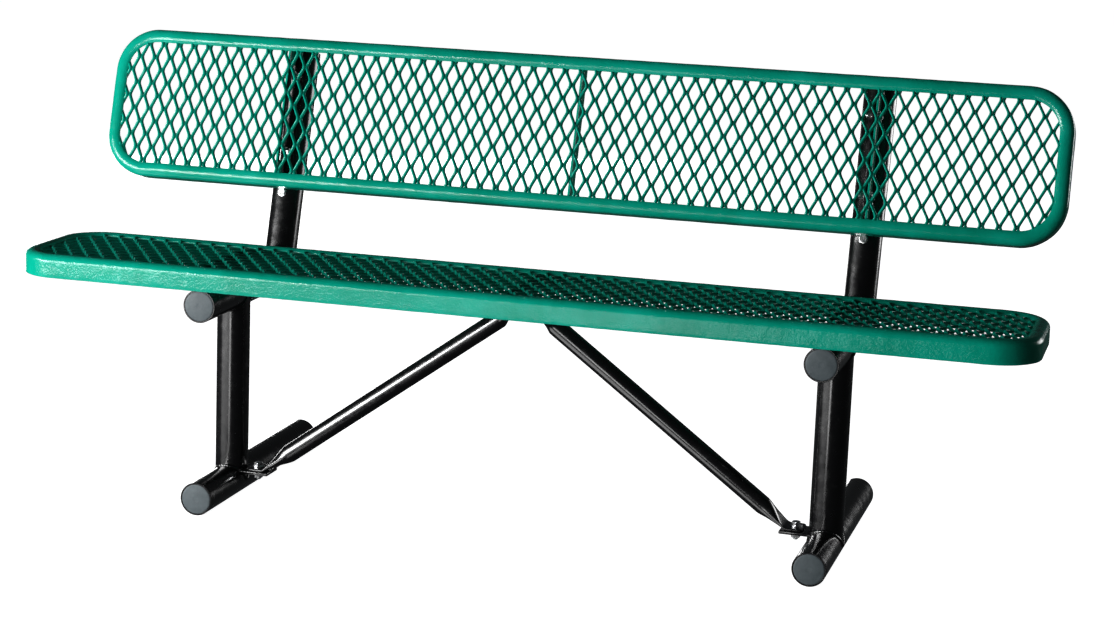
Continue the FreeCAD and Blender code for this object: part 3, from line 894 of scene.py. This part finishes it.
def weld(shape, points, normals, radius, closed=True):
    """A rippled bead along a seam: each normal points out of the corner that the bead fills."""
    bead = circle(radius, 10)
    travelled = 0.0
    rings = []
    total = len(points)
    for i, (spot, out) in enumerate(zip(points, normals)):
        if closed:
            ahead = points[(i + 1) % total] - points[i - 1]
        else:
            ahead = points[min(i + 1, total - 1)] - points[max(i - 1, 0)]
        ahead.normalize()
        if i:
            travelled += (spot - points[i - 1]).length
        out = (out - ahead * out.dot(ahead)).normalized()
        side = ahead.cross(out)
        wave = WELD_RIPPLE * math.sin(travelled * 2 * math.pi / WELD_RIPPLE_LENGTH)
        ripple = 1 + wave + WELD_UNEVENNESS * noise.noise(spot * 120)
        rings.append([spot + out * x * ripple + side * y * ripple for x, y in bead])
    shape.loft(rings, closed=closed)


def tube_on_tube(foot, direction, base):
    """The seam where a tube from foot, along direction, leaves the tube through base along Y."""
    direction = direction.normalized()
    side = direction.cross(Vector((1, 0, 0))).normalized()
    other = Vector((1, 0, 0))
    points = []
    normals = []
    steps = 150
    for k in range(steps):
        a = 2 * math.pi * k / steps
        round_the_tube = other * math.cos(a) + side * math.sin(a)
        start = foot + round_the_tube * TUBE_RADIUS
        dx = start.x - base.x
        dz = start.z - base.z
        a2 = direction.x ** 2 + direction.z ** 2
        a1 = 2 * (dx * direction.x + dz * direction.z)
        a0 = dx * dx + dz * dz - TUBE_RADIUS ** 2
        root = math.sqrt(max(a1 * a1 - 4 * a2 * a0, 0))
        spot = start + direction * ((-a1 + root) / (2 * a2))
        down = Vector((spot.x - base.x, 0, spot.z - base.z)).normalized()
        points.append(spot)
        normals.append((round_the_tube + down).normalized())
    return points, normals


def back_tube_ends(name, x):
    """Centres of a back tube's ends: on the seat support's axis, and under its cap."""
    up_the_back = PLACES["back"].to_3x3() @ Vector((0, 1, 0))
    axis_point = PLACES["back"] @ Vector((x, 0, -FACE_TO_TUBE))
    cap_far = (middle(f"back_support_cap_{name}") - axis_point).dot(up_the_back)
    top = axis_point + up_the_back * (cap_far + CAP_HEIGHT / 2 - CAP_DOME)
    root = top - up_the_back * ((top.z - SUPPORT_HEIGHT) / up_the_back.z)
    return root, top, up_the_back


def make_tube(node, start, end, open_ends=(False, False)):
    tube_solid(start, end, open_ends).piece(f"{node}_painted", "black_powder_coat", node)


def make_tube_frame(name, side):
    x = side * HALF_SPACING
    foot_low, foot_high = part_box(f"foot_tube_{name}")
    rest_low, rest_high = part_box(f"seat_support_tube_{name}")
    foot_front = Vector((x, foot_low.y, FOOT_HEIGHT))
    foot_rear = Vector((x, foot_high.y, FOOT_HEIGHT))
    rest_front = Vector((x, rest_low.y, SUPPORT_HEIGHT))
    rest_rear = Vector((x, rest_high.y, SUPPORT_HEIGHT))
    post_base = Vector((x, POST_Y, FOOT_HEIGHT))
    post_top = Vector((x, POST_Y, SUPPORT_HEIGHT))
    root, tube_top, up_the_back = back_tube_ends(name, x)
    make_tube(f"foot_tube_{name}", foot_front, foot_rear, (True, True))
    make_tube(f"seat_support_tube_{name}", rest_front, rest_rear, (True, True))
    make_tube(f"post_tube_{name}", post_base, post_top)
    make_tube(f"back_support_tube_{name}", root, tube_top, (False, True))
    beads = Shape()
    weld(beads, *tube_on_tube(post_base, Vector((0, 0, 1)), foot_front), FRAME_WELD)
    weld(beads, *tube_on_tube(post_top, Vector((0, 0, -1)), rest_front), FRAME_WELD)
    weld(beads, *tube_on_tube(root, up_the_back, rest_front), FRAME_WELD)
    beads.piece(f"frame_welds_{name}", "black_powder_coat", sharp=60)
    make_cap(f"foot_front_cap_{name}", foot_front, Vector((0, -1, 0)))
    make_cap(f"foot_rear_cap_{name}", foot_rear, Vector((0, 1, 0)))
    make_cap(f"seat_support_front_cap_{name}", rest_front, Vector((0, -1, 0)))
    make_cap(f"seat_support_rear_cap_{name}", rest_rear, Vector((0, 1, 0)))
    make_cap(f"back_support_cap_{name}", tube_top, up_the_back)


def make_cap(node, spot, out):
    """Push-in plug: a shallow dome with a rounded rim and the small mark of its moulding gate."""
    ball = (CAP_RADIUS ** 2 + CAP_DOME ** 2) / (2 * CAP_DOME)
    rim = CAP_RADIUS - CAP_EDGE
    profile = [
        (CAP_DOME - CAP_HEIGHT, CAP_RADIUS * 0.97),
        (-0.002, CAP_RADIUS),
        (-0.0004, CAP_RADIUS),
        (0.0001, rim),
    ]
    for k in range(1, CAP_STEPS):
        r = rim * (1 - k / CAP_STEPS)
        z = math.sqrt(ball ** 2 - r ** 2) - (ball - CAP_DOME)
        if r < GATE_RADIUS:
            z -= GATE_DEPTH
        profile.append((z, r))
    along(spot, spot + out, profile).piece(f"{node}_moulded", "grey_cap", node, sharp=50)


def make_tabs():
    """Flat tabs on the back and seat support tubes, with a weld along both sides."""
    length = size("seat_tab_right").y
    tube_top = math.sqrt(TUBE_RADIUS ** 2 - (TAB_THICKNESS / 2) ** 2) - FACE_TO_TUBE
    for prefix, place in PLACES.items():
        for name, side in SIDES:
            node = f"{prefix}_tab_{name}"
            x = side * HALF_SPACING
            low = Vector((x - TAB_THICKNESS / 2, -length / 2, TUBE_RADIUS - TAB_SUNK - FACE_TO_TUBE))
            high = Vector((x + TAB_THICKNESS / 2, length / 2, TAB_TOP - FACE_TO_TUBE))
            shape = Shape()
            shape.add(block(low, high, TAB_EDGE), place)
            for face in (-1, 1):
                edge_x = x + face * TAB_THICKNESS / 2
                start = place @ Vector((edge_x, -length / 2, tube_top))
                end = place @ Vector((edge_x, length / 2, tube_top))
                out = place.to_3x3() @ Vector((face, 0, 1)).normalized()
                points = [start.lerp(end, k / 70) for k in range(71)]
                weld(shape, points, [out] * 71, TAB_WELD, closed=False)
            shape.piece(f"{node}_painted", "black_powder_coat", node, sharp=45)


def make_brace_tabs():
    """Flat tabs on the feet, under the braces' lower ends, with a weld where they meet the tube."""
    for name, side in SIDES:
        node = f"brace_tab_{name}"
        low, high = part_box(node)
        shape = Shape()
        shape.add(block(low, high, BRACE_TAB_EDGE))
        start = low.y + 0.002
        end = high.y - 0.002
        edge_x = side * (HALF_SPACING - math.sqrt(TUBE_RADIUS ** 2 - (high.z - FOOT_HEIGHT) ** 2))
        points = [Vector((edge_x, start + (end - start) * k / 26, high.z)) for k in range(27)]
        out = Vector((-side, 0, 1)).normalized()
        weld(shape, points, [out] * 27, BRACE_TAB_WELD, closed=False)
        shape.piece(f"{node}_painted", "black_powder_coat", node, sharp=45)


def make_bracket():
    """Channel under the seat's middle stiffener: a plate and two upright sides."""
    low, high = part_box("seat_brace_bracket")
    shape = Shape()
    shape.add(block(low, (high.x, high.y, low.z + BRACKET_SHEET), BRACKET_EDGE))
    shape.add(block(low, (high.x, low.y + BRACKET_SHEET, high.z), BRACKET_EDGE))
    shape.add(block((low.x, high.y - BRACKET_SHEET, low.z), high, BRACKET_EDGE))
    shape.piece("seat_brace_bracket_coated", "green_plastisol", "seat_brace_bracket", sharp=45)


# ---------------------------------------------------------------- braces


def brace_stations(flat_z, head_z):
    """Along a right-hand brace, foot to head: centre, lean, flatness and distance to the near tip.

    Flatness is 0 where the tube is round and 1 where it is pressed flat.
    """
    slope = math.atan(BRACE_SLOPE)
    foot_x = BRACE_FOOT_INNER_X
    low_x = foot_x - BRACE_FOOT_TAPER
    head_x = foot_x - (head_z - flat_z) / BRACE_SLOPE
    high_x = head_x + BRACE_HEAD_TAPER
    tip = BRACE_BOLT_X + BRACE_END_MARGIN
    far_from_tip = 1.0
    stations = []

    def flat_end(start, end, z, near_tip):
        for k in range(13):
            x = start + (end - start) * k / 12
            stations.append((x, z, 0.0, 1.0, abs(x - near_tip)))

    def sloping(start, end, t, lean, flat):
        x = start + (end - start) * t
        stations.append((x, flat_z + (foot_x - x) * BRACE_SLOPE, lean, flat, far_from_tip))

    flat_end(tip, foot_x + BRACE_OVERRUN, flat_z, tip)
    for k in range(1, 21):
        t = k / 20
        sloping(foot_x, low_x, t, slope * ease(min(1.0, t * 2)), 1 - ease(t))
    for k in range(1, 30):
        sloping(low_x, high_x, k / 30, slope, 0.0)
    for k in range(20):
        t = k / 20
        sloping(high_x, head_x, t, slope * ease(min(1.0, (1 - t) * 2)), ease(t))
    flat_end(head_x - BRACE_OVERRUN, -BRACE_END_MARGIN, head_z, -BRACE_END_MARGIN)
    return stations


def brace_shape(side, head_z):
    """A round tube whose section widens and thins into the flat ends, with rounded tips."""
    flat_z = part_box("brace_tab_right")[1].z + BRACE_FLAT / 2
    corner = BRACE_FLAT_CORNER
    rings = []
    for x, z, lean, flat, to_tip in brace_stations(flat_z, head_z):
        half_wide = BRACE_RADIUS + (BRACE_FLAT_WIDTH / 2 - BRACE_RADIUS) * flat
        if to_tip < corner:
            half_wide -= corner - math.sqrt(max(corner ** 2 - (corner - to_tip) ** 2, 0))
        half_thick = BRACE_RADIUS + (BRACE_FLAT / 2 - BRACE_RADIUS) * flat ** 0.8
        power = 2 + 3.5 * flat ** 2
        thick = Vector((side * math.sin(lean), 0, math.cos(lean)))
        centre = Vector((side * x, POST_Y, z))
        rings.append([
            centre + Vector((0, 1, 0)) * a + thick * b
            for a, b in superellipse(half_wide, half_thick, power, 40)
        ])
    shape = Shape()
    shape.loft(rings)
    return shape


def make_braces():
    """The left brace's upper end lies against the bracket, and the right one's lies under it."""
    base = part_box("seat_brace_bracket")[0].z
    for (name, side), drop in zip(SIDES, (0.5, 1.5)):
        node = f"brace_{name}"
        brace_shape(side, base - BRACE_FLAT * drop).piece(
            f"{node}_painted", "black_powder_coat", node, sharp=40)


# ---------------------------------------------------------------- floor


def make_floor():
    mesh = bpy.data.meshes.new("floor")
    far = FLOOR_REACH
    corners = [(-far, -far, 0), (far, -far, 0), (far, far, 0), (-far, far, 0)]
    mesh.from_pydata(corners, [], [(0, 1, 2, 3)])
    mesh.materials.append(studio_floor())
    floor = bpy.data.objects.new("floor", mesh)
    floor.visible_glossy = False
    floor.visible_diffuse = False
    floor.visible_shadow = False
    bpy.context.scene.collection.objects.link(floor)


bpy.context.scene.view_settings.view_transform = "Standard"
bpy.context.scene.view_settings.look = "Medium High Contrast"
make_camera()
make_lights()
make_world()
make_panels()
for name, side in SIDES:
    make_tube_frame(name, side)
make_tabs()
make_brace_tabs()
make_bracket()
make_braces()
for prefix in PLACES:
    make_panel_bolts(prefix)
make_tube_screws()
make_brace_bolts()
make_floor()
